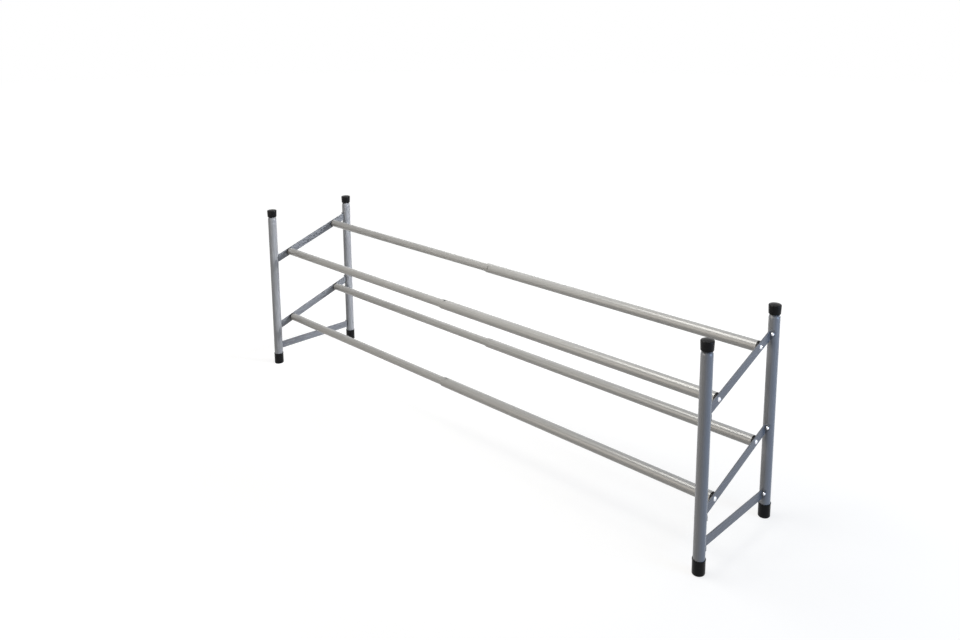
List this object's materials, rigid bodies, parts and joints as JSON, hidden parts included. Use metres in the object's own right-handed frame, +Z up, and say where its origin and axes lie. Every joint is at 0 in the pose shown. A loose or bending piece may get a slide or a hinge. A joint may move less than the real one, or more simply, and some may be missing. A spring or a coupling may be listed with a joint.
{
  "type": "pull out shoe rack",
  "caption": "Freestanding silver metal shoe rack with slanted tube shelves that telescope between riveted end frames with black caps and feet.",
  "frame": {"origin": "on the floor, midway between the four posts with the rack fully pulled out", "axes": "+X along the rack to the end with the thick tubes, +Y to the rear, where the shelves are higher, +Z up"},
  "size_m": [1.1812, 0.2262, 0.374],
  "materials": {
    "frame_silver": "satin silver paint",
    "tube_silver": "satin silver paint",
    "black_plastic": "fine matt moulding",
    "bush_plastic": "natural moulding",
    "rivet_metal": "bright",
    "screw_metal": "bright zinc"
  },
  "bodies": {
    "right_frame": {"right_front_post": "frame_silver", "right_front_top_cap": "black_plastic", "right_front_foot": "black_plastic", "right_rear_post": "frame_silver", "right_rear_top_cap": "black_plastic", "right_rear_foot": "black_plastic", "right_upper_rail": "frame_silver", "right_lower_rail": "frame_silver", "right_bottom_brace": "frame_silver", "right_post_rivets": "rivet_metal", "right_tube_screws": "screw_metal", "right_upper_rear_plug": "black_plastic", "right_upper_front_plug": "black_plastic", "right_lower_rear_plug": "black_plastic", "right_lower_front_plug": "black_plastic", "upper_rear_outer_tube": "tube_silver", "upper_front_outer_tube": "tube_silver", "lower_rear_outer_tube": "tube_silver", "lower_front_outer_tube": "tube_silver"},
    "left_frame": {"left_front_post": "frame_silver", "left_front_top_cap": "black_plastic", "left_front_foot": "black_plastic", "left_rear_post": "frame_silver", "left_rear_top_cap": "black_plastic", "left_rear_foot": "black_plastic", "left_upper_rail": "frame_silver", "left_lower_rail": "frame_silver", "left_bottom_brace": "frame_silver", "left_post_rivets": "rivet_metal", "left_tube_screws": "screw_metal", "left_upper_rear_plug": "black_plastic", "left_upper_front_plug": "black_plastic", "left_lower_rear_plug": "black_plastic", "left_lower_front_plug": "black_plastic", "upper_rear_inner_tube": "tube_silver", "upper_rear_guide_bush": "bush_plastic", "upper_front_inner_tube": "tube_silver", "upper_front_guide_bush": "bush_plastic", "lower_rear_inner_tube": "tube_silver", "lower_rear_guide_bush": "bush_plastic", "lower_front_inner_tube": "tube_silver", "lower_front_guide_bush": "bush_plastic"}
  },
  "joints": [
    {"name": "pull_out", "type": "slide", "parent": "right_frame", "child": "left_frame", "axis": [1, 0, 0], "range_m": [0, 0.5355]}
  ]
}
